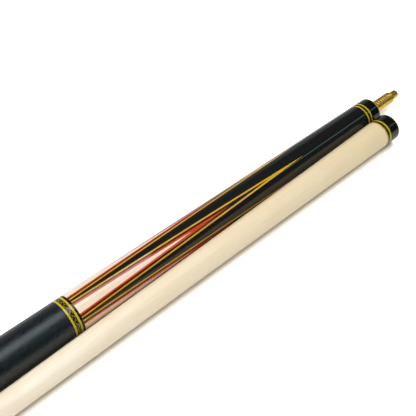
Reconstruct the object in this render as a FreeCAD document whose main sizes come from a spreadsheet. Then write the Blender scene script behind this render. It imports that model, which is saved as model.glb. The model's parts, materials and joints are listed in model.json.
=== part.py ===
# A two-piece pool cue, taken apart: the butt and the shaft lie side by side on a table.
#
# Each half is built along its own X axis, with its joint face at X = 0 and the joint end
# pointing to +X. Lengths in the outlines are distances behind that face. The halves are then
# laid down so that each one really rests on the table, Z = 0, and the origin is moved to the
# bottom centre of the whole.
import FreeCAD, Part
import math
import os
import Sketcher

os.makedirs("parts", exist_ok=True)
doc = FreeCAD.newDocument("pool_cue")

# ---------------------------------------------------------------- driving dimensions (mm)
SIZES = {
    # overall
    "joint_radius": 10.8,
    "butt_end_radius": 15.875,
    "butt_length": 736.6,
    "shaft_length": 736.6,
    # ring stack at both joint ends
    "collar_length": 10.2,
    "ring_width": 1.25,
    "spacer_width": 2.5,
    "rim_chamfer": 0.3,
    "butt_tenon_radius": 7.0,
    "shaft_tenon_radius": 8.4,
    # joint pin and the stud between forearm and handle
    "pin_radius": 4.7625,
    "pin_thread_reach": 28.5,
    "pin_reach": 35.5,
    "pin_depth": 32.0,
    "pin_chamfer": 0.6,
    "shank_radius": 4.5,
    "pilot_radius": 3.4,
    "stud_half_length": 26.0,
    # points spliced into the forearm
    "forearm_end": 290.8,
    "point_count": 6,
    "point_angle": 31.5,
    "point_tip": 90.0,
    "groove_floor_radius": 5.64,
    "yellow_thickness": 0.86,
    "black_thickness": 1.04,
    "red_thickness": 0.88,
    "splice_side": 10.0,
    # ring sets at the two ends of the wrap
    "trim_width": 1.5,
    "wrap_ring_width": 1.2,
    "scroll_width": 2.8,
    "core_tenon_radius": 9.0,
    "wrap_length": 304.8,
    "wrap_thickness": 1.0,
    # rear of the butt
    "sleeve_length": 96.0,
    "cap_core_depth": 12.0,
    "cap_bore_radius": 8.0,
    "cap_chamfer": 1.0,
    "bolt_radius": 6.35,
    "bolt_clearance": 0.1,
    "bolt_length": 58.0,
    "bolt_start": 628.0,
    "bolt_bore_start": 622.0,
    "bolt_socket_width": 6.35,
    "bolt_socket_depth": 8.0,
    "bumper_gap": 0.05,
    "bumper_stem_length": 12.0,
    "bumper_head_radius": 13.2,
    "bumper_head_length": 12.0,
    "bumper_fillet": 3.0,
    # shaft
    "tip_radius": 6.55,
    "taper_length": 587.0,
    "insert_radius": 6.5,
    "insert_bore_radius": 4.85,
    "insert_length": 38.0,
    "relief_radius": 4.0,
    "relief_length": 2.0,
    "ferrule_length": 25.4,
    "ferrule_tenon_length": 20.0,
    "ferrule_tenon_radius": 4.0,
    "pad_thickness": 1.0,
    "tip_barrel": 3.8,
    "tip_height": 6.0,
    # how the halves lie
    "shaft_offset_x": 5.8,
    "shaft_offset_y": 22.3,
    "shaft_yaw": 0.12,
}

sheet = doc.addObject("Spreadsheet::Sheet", "Sizes")
for row, (alias, number) in enumerate(SIZES.items(), start=1):
    sheet.set(f"A{row}", str(number))
    sheet.setAlias(f"A{row}", alias)
doc.recompute()


class Size:
    """A length together with the spreadsheet expression that gives it."""

    def __init__(self, value, text):
        self.value = value
        self.text = text

    def __add__(self, other):
        other = as_size(other)
        return Size(self.value + other.value, f"({self.text} + {other.text})")

    def __sub__(self, other):
        other = as_size(other)
        return Size(self.value - other.value, f"({self.text} - {other.text})")

    def __mul__(self, other):
        other = as_size(other)
        return Size(self.value * other.value, f"({self.text} * {other.text})")

    def __truediv__(self, other):
        other = as_size(other)
        return Size(self.value / other.value, f"({self.text} / {other.text})")

    def __neg__(self):
        return Size(-self.value, f"(-{self.text})")


def as_size(number):
    return number if isinstance(number, Size) else Size(number, str(number))


def cell(alias):
    """The named cell of the sheet as a Size."""
    return Size(sheet.get(alias), f"Sizes.{alias}")


AXIS = as_size(0)  # the radius of a corner that lies on the centre line
FACE = as_size(0)  # the distance of a corner that lies in the joint face

joint_radius = cell("joint_radius")
butt_length = cell("butt_length")
tip_radius = cell("tip_radius")
taper_length = cell("taper_length")


def butt_radius(behind):
    """Outer radius of the butt: one straight taper from the joint to the butt end."""
    return joint_radius + (cell("butt_end_radius") - joint_radius) * behind / butt_length


def shaft_radius(behind):
    """Outer radius of the shaft: a parabola that runs out into the straight front part."""
    left = (taper_length - behind) / taper_length
    return tip_radius + (joint_radius - tip_radius) * left * left


# ---------------------------------------------------------------- builders
nodes = []  # every finished sub-part, in order
halves = {"butt": [], "shaft": []}


def finish(thing, label, half):
    thing.Label = label
    nodes.append(thing)
    halves[half].append(thing)
    return thing


def spot(corner):
    """The sketch point of a (distance behind the face, radius) corner."""
    behind, radius = corner
    return FreeCAD.Vector(-behind.value, radius.value, 0)


def bind(sketch, kind, ends, size):
    index = sketch.addConstraint(Sketcher.Constraint(kind, *ends, size.value))
    sketch.setExpression(f"Constraints[{index}]", size.text)


def bind_corner(sketch, edge, end, corner):
    """Ties one end of a sketch edge to its distance behind the face and its radius."""
    behind, radius = corner
    if behind is FACE:
        sketch.addConstraint(Sketcher.Constraint("PointOnObject", edge, end, -2))
    elif behind.value > 0:
        bind(sketch, "DistanceX", (edge, end, -1, 1), behind)
    else:
        bind(sketch, "DistanceX", (-1, 1, edge, end), -behind)
    if radius is AXIS:
        sketch.addConstraint(Sketcher.Constraint("PointOnObject", edge, end, -1))
    else:
        bind(sketch, "DistanceY", (-1, 1, edge, end), radius)


def new_profile(name):
    """A body with an empty sketch on its own XZ plane."""
    body = doc.addObject("PartDesign::Body", name)
    sketch = body.newObject("Sketcher::SketchObject", name + "_profile")
    plane = next(item for item in body.Origin.OriginFeatures if item.Role == "XZ_Plane")
    sketch.AttachmentSupport = [(plane, "")]
    sketch.MapMode = "FlatFace"
    return body, sketch


def close_profile(sketch, first_edge, corners):
    """Joins the last edges of a sketch into a ring and binds each edge's first corner."""
    count = len(corners)
    for index, corner in enumerate(corners):
        edge = first_edge + index
        following = first_edge + (index + 1) % count
        sketch.addConstraint(Sketcher.Constraint("Coincident", edge, 2, following, 1))
        bind_corner(sketch, edge, 1, corner)


def revolve(body, sketch):
    turn = body.newObject("PartDesign::Revolution", body.Name + "_turned")
    turn.Profile = sketch
    turn.ReferenceAxis = (sketch, ["H_Axis"])
    turn.Angle = 360
    return turn


def dome_arc(start, stop):
    """The arc from start to stop, a point of the axis, whose centre is on the axis too."""
    height = start.x - stop.x
    reach = (start.y ** 2 + height ** 2) / (2 * height)
    centre = FreeCAD.Vector(stop.x + reach, 0, 0)
    circle = Part.Circle(centre, FreeCAD.Vector(0, 0, 1), reach)
    return Part.ArcOfCircle(circle, math.atan2(start.y, start.x - centre.x), math.pi)


def turned(name, corners, dome=None):
    """A turned piece from its closed outline; corner number dome starts a domed end."""
    body, sketch = new_profile(name)
    for index, corner in enumerate(corners):
        start = spot(corner)
        stop = spot(corners[(index + 1) % len(corners)])
        if index == dome:
            sketch.addGeometry(dome_arc(start, stop), False)
            sketch.addConstraint(Sketcher.Constraint("PointOnObject", index, 3, -1))
        else:
            sketch.addGeometry(Part.LineSegment(start, stop), False)
    close_profile(sketch, 0, corners)
    revolve(body, sketch)
    return body


def tube(name, outer, front, rear, bore):
    """A ring whose outside follows the half's own taper."""
    corners = [(front, bore), (front, outer(front)), (rear, outer(rear)), (rear, bore)]
    return turned(name, corners)


def fillet_rim(body, behind, radius, size):
    """Rounds the circular edge that lies at this distance behind the face."""
    doc.recompute()
    plain = body.Tip
    rims = []
    for number, edge in enumerate(plain.Shape.Edges, start=1):
        if isinstance(edge.Curve, Part.Circle):
            off_place = abs(edge.Curve.Center.x + behind.value)
            off_size = abs(edge.Curve.Radius - radius.value)
            if max(off_place, off_size) < 0.001:
                rims.append(f"Edge{number}")
    rounding = body.newObject("PartDesign::Fillet", body.Name + "_rounded")
    rounding.Base = (plain, rims)
    rounding.setExpression("Radius", size.text)
    return rounding


# ---------------------------------------------------------------- shared ring stack at the joint
def joint_stack(prefix, half, outer, tenon):
    """Collar, ring, spacer and ring on a half's tenon; returns the distance where they end."""
    collar_end = cell("collar_length")
    chamfer = cell("rim_chamfer")
    corners = [
        (FACE, tenon),
        (FACE, outer(FACE) - chamfer),
        (chamfer, outer(chamfer)),
        (collar_end, outer(collar_end)),
        (collar_end, tenon),
    ]
    name = f"{prefix}_collar"
    finish(turned(name, corners), name, half)
    return ring_stack(f"{prefix}_joint", half, outer, tenon, collar_end)


def ring_stack(prefix, half, outer, bore, start):
    """Yellow ring, dark spacer, yellow ring, one behind the other."""
    layers = [("ring_front", "ring_width"), ("spacer", "spacer_width"), ("ring_rear", "ring_width")]
    for suffix, width in layers:
        end = start + cell(width)
        name = f"{prefix}_{suffix}"
        finish(tube(name, outer, start, end, bore), name, half)
        start = end
    return start


# ---------------------------------------------------------------- butt: joint end
butt_tenon = cell("butt_tenon_radius")
pin_radius = cell("pin_radius")
shank_radius = cell("shank_radius")
pin_depth = cell("pin_depth")


def joint_pin():
    """Brass pin: a shank glued into the forearm, the thick threaded part and a pilot."""
    reach = cell("pin_reach")
    thread = cell("pin_thread_reach")
    pilot = cell("pilot_radius")
    chamfer = cell("pin_chamfer")
    corners = [
        (-reach, AXIS),
        (-reach, pilot - chamfer),
        (chamfer - reach, pilot),
        (-thread, pilot),
        (pin_radius - pilot - thread, pin_radius),
        (FACE, pin_radius),
        (FACE, shank_radius),
        (pin_depth, shank_radius),
        (pin_depth, AXIS),
    ]
    return turned("joint_pin", corners)


finish(joint_pin(), "joint_pin", "butt")
forearm_start = joint_stack("butt", "butt", butt_radius, butt_tenon)

# ---------------------------------------------------------------- butt: forearm and its points
forearm_end = cell("forearm_end")
stud_end = forearm_end + cell("stud_half_length")
stud_start = forearm_end - cell("stud_half_length")
point_tip = cell("point_tip")
groove_floor = cell("groove_floor_radius")

# from outside inwards: each layer, and how deep inside its groove it starts
LAYERS = [
    ("yellow_veneer", as_size(0)),
    ("black_veneer", cell("yellow_thickness")),
    ("red_veneer", cell("yellow_thickness") + cell("black_thickness")),
    ("point_core", cell("yellow_thickness") + cell("black_thickness") + cell("red_thickness")),
]


def forearm_blank():
    """The forearm before it is grooved: tenon, cone, pin hole and stud hole."""
    corners = [
        (FACE, shank_radius),
        (FACE, butt_tenon),
        (forearm_start, butt_tenon),
        (forearm_start, butt_radius(forearm_start)),
        (forearm_end, butt_radius(forearm_end)),
        (forearm_end, pin_radius),
        (stud_start, pin_radius),
        (stud_start, AXIS),
        (pin_depth, AXIS),
        (pin_depth, shank_radius),
    ]
    return turned("forearm_blank", corners)


def forearm_cone():
    """The plain cone that every splice is trimmed to."""
    cone = doc.addObject("Part::Cone", "forearm_cone")
    length = forearm_end - forearm_start
    cone.setExpression("Radius1", butt_radius(forearm_end).text)
    cone.setExpression("Radius2", butt_radius(forearm_start).text)
    cone.setExpression("Height", length.text)
    cone.Placement = FreeCAD.Placement(
        FreeCAD.Vector(-forearm_end.value, 0, 0),
        FreeCAD.Rotation(FreeCAD.Vector(0, 1, 0), 90))
    return cone


def splice_block(name, turn, depth):
    """A long square bar whose lower edge is the floor of one 90 degree V groove.

    turn is the point's angle round the forearm; depth is the thickness of veneer that lies
    between the groove's wall and this bar.
    """
    bar = doc.addObject("Part::Box", name)
    rise = butt_radius(point_tip).value - groove_floor.value
    run = forearm_end.value - point_tip.value
    slope = math.degrees(math.atan2(rise, run))
    overrun = cell("splice_side").value
    bar.setExpression("Length", f"{run / math.cos(math.radians(slope))} + 4 * Sizes.splice_side")
    bar.setExpression("Width", "Sizes.splice_side")
    bar.setExpression("Height", "Sizes.splice_side")
    lift = depth.value * math.sqrt(2)
    along = FreeCAD.Rotation(FreeCAD.Vector(0, 1, 0), -slope)
    on_edge = FreeCAD.Rotation(FreeCAD.Vector(1, 0, 0), 45)
    floor = FreeCAD.Vector(-forearm_end.value, 0, groove_floor.value)
    start = floor + along.multVec(FreeCAD.Vector(-overrun, 0, lift))
    around = FreeCAD.Rotation(FreeCAD.Vector(1, 0, 0), turn)
    bar.Placement = FreeCAD.Placement(around.multVec(start), around * along * on_edge)
    return bar


def trimmed(name, blank, piece):
    """The part of a splice that lies inside the forearm's cone."""
    common = doc.addObject("Part::MultiCommon", name)
    common.Shapes = [blank, piece]
    return common


def points():
    """Cuts the grooves and fills each one with three veneers and a core."""
    blank = forearm_blank()
    grooves = []
    filled = []
    for number in range(int(cell("point_count").value)):
        turn = cell("point_angle").value + number * 360 / cell("point_count").value
        bars = [splice_block(f"{layer}_bar_{number + 1}", turn, depth) for layer, depth in LAYERS]
        grooves.append(bars[0])
        for place, (layer, _) in enumerate(LAYERS):
            piece = bars[place]
            if piece is not bars[-1]:
                piece = doc.addObject("Part::Cut", f"{layer}_v_{number + 1}")
                piece.Base = bars[place]
                piece.Tool = bars[place + 1]
            label = f"{layer}_{number + 1}"
            filled.append((trimmed(f"{label}_trimmed", forearm_cone(), piece), label))
    cutters = doc.addObject("Part::MultiFuse", "groove_cutters")
    cutters.Shapes = grooves
    forearm = doc.addObject("Part::Cut", "forearm_grooved")
    forearm.Base = blank
    forearm.Tool = cutters
    finish(forearm, "forearm", "butt")
    for splice, label in filled:
        finish(splice, label, "butt")


points()

# ---------------------------------------------------------------- butt: handle
core_tenon = cell("core_tenon_radius")
wrap_thickness = cell("wrap_thickness")


def wrap_rings(prefix, start, outward):
    """The ring set at one end of the wrap; outward lists its layers from front to rear."""
    for suffix, width in outward:
        end = start + cell(width)
        name = f"{prefix}_{suffix}"
        finish(tube(name, butt_radius, start, end, core_tenon), name, "butt")
        start = end
    return start


SET = [("trim_ring", "trim_width"), ("ring_outer", "wrap_ring_width"),
       ("scroll_band", "scroll_width"), ("ring_inner", "wrap_ring_width")]
wrap_start = wrap_rings("wrap_front", forearm_end, SET)
wrap_end = wrap_start + cell("wrap_length")
sleeve_start = wrap_rings("wrap_rear", wrap_end, SET[::-1])
sleeve_end = sleeve_start + cell("sleeve_length")
core_end = sleeve_end + cell("spacer_width") + cell("ring_width") * 2 + cell("cap_core_depth")
bolt_bore = cell("bolt_radius") + cell("bolt_clearance")


def wrap_seat(behind):
    """Radius of the handle core where the leather lies on it."""
    return butt_radius(behind) - wrap_thickness


def handle_core():
    """Maple core: front tenon for the rings, seat for the leather, long rear tenon."""
    bore_start = cell("bolt_bore_start")
    corners = [
        (forearm_end, pin_radius),
        (forearm_end, core_tenon),
        (wrap_start, core_tenon),
        (wrap_start, wrap_seat(wrap_start)),
        (wrap_end, wrap_seat(wrap_end)),
        (wrap_end, core_tenon),
        (core_end, core_tenon),
        (core_end, bolt_bore),
        (bore_start, bolt_bore),
        (bore_start, AXIS),
        (stud_end, AXIS),
        (stud_end, pin_radius),
    ]
    return turned("handle_core", corners)


def handle_stud():
    corners = [(stud_start, AXIS), (stud_start, pin_radius), (stud_end, pin_radius), (stud_end, AXIS)]
    return turned("handle_stud", corners)


def wrap():
    corners = [
        (wrap_start, wrap_seat(wrap_start)),
        (wrap_start, butt_radius(wrap_start)),
        (wrap_end, butt_radius(wrap_end)),
        (wrap_end, wrap_seat(wrap_end)),
    ]
    return turned("wrap", corners)


finish(handle_stud(), "handle_stud", "butt")
finish(handle_core(), "handle_core", "butt")
finish(wrap(), "wrap", "butt")
finish(tube("butt_sleeve", butt_radius, sleeve_start, sleeve_end, core_tenon), "butt_sleeve", "butt")
cap_start = ring_stack("cap", "butt", butt_radius, core_tenon, sleeve_end)

# ---------------------------------------------------------------- butt: cap, weight bolt, bumper
cap_bore = cell("cap_bore_radius")


def butt_cap():
    chamfer = cell("cap_chamfer")
    corners = [
        (cap_start, core_tenon),
        (cap_start, butt_radius(cap_start)),
        (butt_length - chamfer, butt_radius(butt_length - chamfer)),
        (butt_length, cell("butt_end_radius") - chamfer),
        (butt_length, cap_bore),
        (core_end, cap_bore),
        (core_end, core_tenon),
    ]
    return turned("butt_cap", corners)


def weight_bolt():
    """Steel bolt in the core's rear bore, with a hexagon socket that faces the bumper."""
    start = cell("bolt_start")
    end = start + cell("bolt_length")
    radius = cell("bolt_radius")
    chamfer = cell("pin_chamfer")
    corners = [
        (start, AXIS),
        (start, radius - chamfer),
        (start + chamfer, radius),
        (end - chamfer, radius),
        (end, radius - chamfer),
        (end, AXIS),
    ]
    rod = turned("weight_bolt_rod", corners)
    socket = doc.addObject("Part::Prism", "weight_bolt_socket")
    socket.Polygon = 6
    socket.setExpression("Circumradius", "Sizes.bolt_socket_width / sqrt(3)")
    socket.setExpression("Height", "Sizes.bolt_socket_depth")
    socket.Placement = FreeCAD.Placement(
        FreeCAD.Vector(-end.value, 0, 0), FreeCAD.Rotation(FreeCAD.Vector(0, 1, 0), 90))
    bolt = doc.addObject("Part::Cut", "weight_bolt_cut")
    bolt.Base = rod
    bolt.Tool = socket
    return bolt


def bumper():
    """Rubber bumper: a stem that plugs into the cap and a round head behind it."""
    gap = cell("bumper_gap")
    stem = cap_bore - gap
    head_start = butt_length + gap
    head_end = head_start + cell("bumper_head_length")
    head = cell("bumper_head_radius")
    corners = [
        (butt_length - cell("bumper_stem_length"), AXIS),
        (butt_length - cell("bumper_stem_length"), stem),
        (head_start, stem),
        (head_start, head),
        (head_end, head),
        (head_end, AXIS),
    ]
    body = turned("bumper", corners)
    fillet_rim(body, head_end, head, cell("bumper_fillet"))
    return body


finish(butt_cap(), "butt_cap", "butt")
finish(weight_bolt(), "weight_bolt", "butt")
finish(bumper(), "bumper", "butt")

# ---------------------------------------------------------------- shaft
shaft_tenon = cell("shaft_tenon_radius")
shaft_length = cell("shaft_length")
insert_radius = cell("insert_radius")
insert_length = cell("insert_length")
ferrule_start = shaft_length - cell("ferrule_length")
ferrule_tenon = cell("ferrule_tenon_radius")
ferrule_tenon_end = ferrule_start + cell("ferrule_tenon_length")

wood_start = joint_stack("shaft", "shaft", shaft_radius, shaft_tenon)


def shaft_wood():
    """Maple shaft: the long taper is one parabola, held by its middle control point."""
    body, sketch = new_profile("shaft_wood")
    relief_end = insert_length + cell("relief_length")
    middle = (wood_start + taper_length) / 2
    ends = [(wood_start, shaft_radius(wood_start)), (middle, tip_radius), (taper_length, tip_radius)]
    poles = [spot(corner) for corner in ends]
    sketch.addGeometry(Part.BSplineCurve(poles, None, None, False, 2, None, False), False)
    corners = [
        ends[0],
        ends[2],
        (ferrule_start, tip_radius),
        (ferrule_start, ferrule_tenon),
        (ferrule_tenon_end, ferrule_tenon),
        (ferrule_tenon_end, AXIS),
        (relief_end, AXIS),
        (relief_end, cell("relief_radius")),
        (insert_length, cell("relief_radius")),
        (insert_length, insert_radius),
        (FACE, insert_radius),
        (FACE, shaft_tenon),
        (wood_start, shaft_tenon),
    ]
    for index in range(1, len(corners)):
        following = corners[(index + 1) % len(corners)]
        sketch.addGeometry(Part.LineSegment(spot(corners[index]), spot(following)), False)
    close_profile(sketch, 0, corners)
    for number, pole in enumerate(poles):
        handle = sketch.addGeometry(Part.Circle(pole, FreeCAD.Vector(0, 0, 1), 1.0), True)
        sketch.addConstraint(Sketcher.Constraint(
            "InternalAlignment:Sketcher::BSplineControlPoint", handle, 3, 0, number))
        sketch.addConstraint(Sketcher.Constraint("Radius", handle, 1.0))
        if number == 1:
            bind_corner(sketch, handle, 3, ends[number])
    revolve(body, sketch)
    return body


def shaft_insert():
    """Brass bush in the shaft's joint end that the pin screws into."""
    bore = cell("insert_bore_radius")
    corners = [(FACE, bore), (FACE, insert_radius), (insert_length, insert_radius), (insert_length, bore)]
    return turned("shaft_insert", corners)


def ferrule():
    corners = [
        (ferrule_start, ferrule_tenon),
        (ferrule_start, tip_radius),
        (shaft_length, tip_radius),
        (shaft_length, AXIS),
        (ferrule_tenon_end, AXIS),
        (ferrule_tenon_end, ferrule_tenon),
    ]
    return turned("ferrule", corners)


def tip_pad():
    end = shaft_length + cell("pad_thickness")
    corners = [(shaft_length, AXIS), (shaft_length, tip_radius), (end, tip_radius), (end, AXIS)]
    return turned("tip_pad", corners)


def cue_tip():
    start = shaft_length + cell("pad_thickness")
    shoulder = start + cell("tip_barrel")
    corners = [
        (start, AXIS),
        (start, tip_radius),
        (shoulder, tip_radius),
        (start + cell("tip_height"), AXIS),
    ]
    return turned("cue_tip", corners, dome=2)


for builder in (shaft_wood, shaft_insert, ferrule, tip_pad, cue_tip):
    finish(builder(), builder.__name__, "shaft")

# ---------------------------------------------------------------- laying both halves down
doc.recompute()


def placement(x, y, height, pitch, yaw):
    """Lays a half down; pitch lowers its joint end, yaw turns the joint end to +Y."""
    turn = FreeCAD.Rotation(FreeCAD.Vector(0, 0, 1), yaw) * FreeCAD.Rotation(FreeCAD.Vector(0, 1, 0), pitch)
    return FreeCAD.Placement(FreeCAD.Vector(x, y, height), turn)


def lay_halves(shift_x, shift_y):
    """Rests each half on its own lowest line and moves the pair by the given shift."""
    big = joint_radius.value
    butt_pitch = math.atan2(cell("butt_end_radius").value - big, butt_length.value)
    shaft_rest = shaft_length + cell("pad_thickness") + cell("tip_barrel")
    shaft_pitch = math.atan2(big - tip_radius.value, shaft_rest.value)
    places = {
        "butt": placement(shift_x, shift_y, big * math.cos(butt_pitch), math.degrees(butt_pitch), 0),
        "shaft": placement(
            shift_x - cell("shaft_offset_x").value, shift_y - cell("shaft_offset_y").value,
            big * math.cos(shaft_pitch), -math.degrees(shaft_pitch), -cell("shaft_yaw").value),
    }
    for half, things in halves.items():
        for thing in things:
            thing.Placement = places[half]
    doc.recompute()


lay_halves(0, 0)
box = Part.makeCompound([thing.Shape for thing in nodes]).optimalBoundingBox(False, False)
lay_halves(-box.Center.x, -box.Center.y)

# ---------------------------------------------------------------- checks and output
faults = [item.Name for item in doc.Objects if "Invalid" in item.State or "Error" in item.State]
if faults:
    raise RuntimeError(f"failed to recompute: {faults}")
for thing in nodes:
    if thing.Shape.isNull() or not thing.Shape.isValid():
        raise RuntimeError(f"bad shape: {thing.Label}")
    thing.Shape.exportStep(f"parts/{thing.Label}.step")
box = Part.makeCompound([thing.Shape for thing in nodes]).optimalBoundingBox(False, False)
print(f"{len(nodes)} sub-parts, {box.XLength:.2f} x {box.YLength:.2f} x {box.ZLength:.2f} mm, "
      f"lowest {box.ZMin:.3f}")
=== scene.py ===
"""The looks of a two-piece pool cue that lies taken apart on a pale table.

Every turned part is lathed again round its half's axis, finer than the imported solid, from sizes read
off the frame. The spliced forearm is lofted, so that its veneers meet on one true cone. Lengths are
metres.
"""
import json
import math

import bmesh
import bpy
import numpy as np
from mathutils import Matrix, Vector


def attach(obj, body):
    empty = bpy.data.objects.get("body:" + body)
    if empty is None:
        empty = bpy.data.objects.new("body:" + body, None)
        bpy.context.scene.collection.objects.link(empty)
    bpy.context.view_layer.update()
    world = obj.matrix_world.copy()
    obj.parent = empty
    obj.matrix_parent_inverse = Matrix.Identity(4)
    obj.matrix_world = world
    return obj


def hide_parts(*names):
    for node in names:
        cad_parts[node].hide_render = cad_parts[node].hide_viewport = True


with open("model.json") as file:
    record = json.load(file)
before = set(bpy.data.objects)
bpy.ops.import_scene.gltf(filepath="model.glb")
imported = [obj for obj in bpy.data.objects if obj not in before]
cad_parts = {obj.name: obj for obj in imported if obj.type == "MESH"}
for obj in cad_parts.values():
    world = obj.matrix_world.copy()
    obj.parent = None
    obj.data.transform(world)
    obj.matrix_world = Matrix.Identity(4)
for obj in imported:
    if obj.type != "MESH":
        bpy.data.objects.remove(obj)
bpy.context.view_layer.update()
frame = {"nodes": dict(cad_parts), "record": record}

MM = 0.001
FULL_TURN = 2 * math.pi
UP = Vector((0, 0, 1))

# The camera and the lights, placed from the butt's joint face: +X past the joint, +Y away, +Z up
CAMERA_PLACE = Vector((-0.4013, -0.22605, 0.34714))
CAMERA_AIM = Vector((0.49077, 0.50044, -0.71323))
CAMERA_ROLL = math.radians(0.89)
CAMERA_LENS = 59.2
CAMERA_SENSOR = 36.0
TABLE_SIZE = 12.0
TABLE_ROUGHNESS = 0.9
TABLE_SPECULAR = 0.1
TABLE_WHITES = (0.86, 0.90)
TABLE_NOISE = 3.0
TABLE_GLOW = 0.75  # how much light the table sends to the pieces
TABLE_WHITE = 1.8  # how bright the camera sees it, over 1 so that it stays white
GLOW_REACH = 0.15  # pieces shade the glow up to this distance
SHADE_POWER = 2.0  # how quickly the glow fades toward a contact
# Painted shade: where ambient occlusion is low, the table's colour turns to this brown, a painted warm
# contact shadow.
PAINTED_CONTACT_SHADE = (0.62, 0.48, 0.30, 1)
# How high a direction is over this leaning horizon tells the bright wall behind from the rest. The wall
# ends between the first two heights, and goes from its own brightness to the ceiling's.
WALL_LEAN = (0.0, -0.5, 1.0)
WALL_FADE = (0.10, 0.30, 0.33, 0.03)

# How finely things are divided
SEGMENTS = 160
WRAP_SEGMENTS = 240
WRAP_STATIONS = 150
SEAM_STEPS = 12
ROLL_STEPS = 6
BEVEL_STEPS = 4
VINE_STEPS = 24  # to a wave
CURL_STEPS = 17
SPLICE_STATIONS = 30
SKIN_STEPS = 14  # across the ebony between two points
CORE_STEPS = 12
VENEER_STEPS = 3
PILOT_STEPS = 4
CROWN_STEPS = 13
THREAD_STATIONS = 200
TAPER_STATIONS = 60
SMOOTH_TURN = math.radians(25)
SHARP_EDGE = math.radians(40)
ON_AXIS = 1e-7
SAME_PLANE = 0.05 * MM

# Details that the solids leave out
FLUSH_BEVEL = 0.03 * MM
CHAMFER_REACH = 1.05 * MM
JOINT_EDGE = 0.1 * MM
TENON_START = 0.05 * MM
COLLAR_BEVEL = 0.25 * MM
CAP_BEVEL = 1.0 * MM
SHOULDER_BEVEL = 0.4 * MM
BUMPER_ROUNDING = 4.5 * MM
DIMPLE_SIZE = (0.42, 0.38)  # at its edge and at its floor, as shares of the bumper's radius
DIMPLE_DEPTH = 0.7 * MM
DIMPLE_EDGE = 0.3 * MM
GILT_WIDTH = 0.9 * MM
LEATHER_ROLL = 0.35 * MM
INSERT_PLAY = 0.02 * MM
THREAD_PITCH = 2.54 * MM
THREAD_DEPTH = 0.26 * MM
THREAD_SHIFT = 0.35  # the higher, the wider its root
THREAD_FLANK = 0.9  # the higher, the gentler its flanks
THREAD_FADE = 0.6 * THREAD_PITCH
PILOT_BEVEL = 0.45 * MM
INSERT_BEVEL = 0.2 * MM
BORE_BEVEL = 0.3 * MM
TAPER_STRAIGHT = 124.2 * MM
TIP_BEVEL = 0.15 * MM
SEAM_PLACE = math.radians(165)
SEAM_WIDTH = 0.5 * MM
SEAM_DEPTH = 0.18 * MM
WRAP_PULL = 0.03 * MM
WRAP_RIPPLES = (23 * MM, 41 * MM)
SCROLLS = 14
VINE_HEIGHT = 0.06 * MM

# The scroll: its vine and curls, as shares of the band's width
VINE_SWING = 0.27
VINE_WIDTH = 0.13
CURL_OFFSET = 0.10
CURL_WIDTHS = (0.12, 0.07)
CURL_REACHES = (0.27, 0.08)  # these two are shares of a wave's length
CURL_TURN = 1.35 * math.pi
CURL_SQUEEZE = 0.95


# ---------------------------------------------------------------- the two halves

class Half:
    """One half of the cue. Its own frame has its origin at the joint face, +X back along the axis, +Z up."""

    def __init__(self, face, toward_joint, body):
        back = -toward_joint
        up = (UP - back * back.dot(UP)).normalized()
        self.matrix = Matrix((back, up.cross(back), up)).transposed().to_4x4()
        self.matrix.translation = face
        self.body = body

    def points(self, node):
        """A node's vertices in this half's frame, as rows of x, y and z."""
        mesh = frame["nodes"][node].data
        world = np.empty(len(mesh.vertices) * 3)
        mesh.vertices.foreach_get("co", world)
        world = np.c_[world.reshape(-1, 3), np.ones(len(mesh.vertices))]
        return (world @ np.array(self.matrix.inverted()).T)[:, :3]

    def span(self, node):
        """Where a node starts and ends behind the joint face."""
        along = self.points(node)[:, 0]
        return along.min(), along.max()

    def radii(self, node, at):
        """A node's smallest and largest radius in the plane at this distance behind the face."""
        points = self.points(node)
        near = points[abs(points[:, 0] - at) < SAME_PLANE]
        radius = np.hypot(near[:, 1], near[:, 2])
        return radius.min(), radius.max()

    def rim(self, node, at):
        """The x and the radius of a node's widest place near one of its ends, past any chamfer."""
        points = self.points(node)
        near = points[abs(points[:, 0] - at) < CHAMFER_REACH]
        radius = np.hypot(near[:, 1], near[:, 2])
        widest = radius.argmax()
        return near[widest, 0], radius[widest]

    def wall(self, node):
        """The radius of a node's outer wall at both its ends, as if they had no chamfers."""
        start, end = self.span(node)
        (front, front_radius), (back, back_radius) = self.rim(node, start), self.rim(node, end)
        slope = (back_radius - front_radius) / (back - front)
        return front_radius + slope * (start - front), back_radius + slope * (end - back)


def mount(name):
    return next(m for m in frame["record"]["mounts"] if m["name"] == name)


def half_behind(name, sign, body):
    """The half whose joint face is at one end of a round mount."""
    given = mount(name)
    axis = Vector(given["axis"])
    face = Vector(given["pos_m"]) + axis * (sign * given["dims"]["length_mm"] * MM / 2)
    return Half(face, axis, body)


butt = half_behind("joint_pin", -1, "butt")
shaft = half_behind("shaft_socket", 1, "shaft")
joint_face = Vector((butt.matrix.translation.x, butt.matrix.translation.y, 0))


# ---------------------------------------------------------------- materials

def shader_math(tree, operation, *values):
    """A math node in any node tree, fed from sockets or numbers; returns its output."""
    node = tree.nodes.new("ShaderNodeMath")
    node.operation = operation
    for socket, value in zip(node.inputs, values):
        if hasattr(value, "links"):
            tree.links.new(value, socket)
        else:
            socket.default_value = value
    return node.outputs["Value"]


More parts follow.
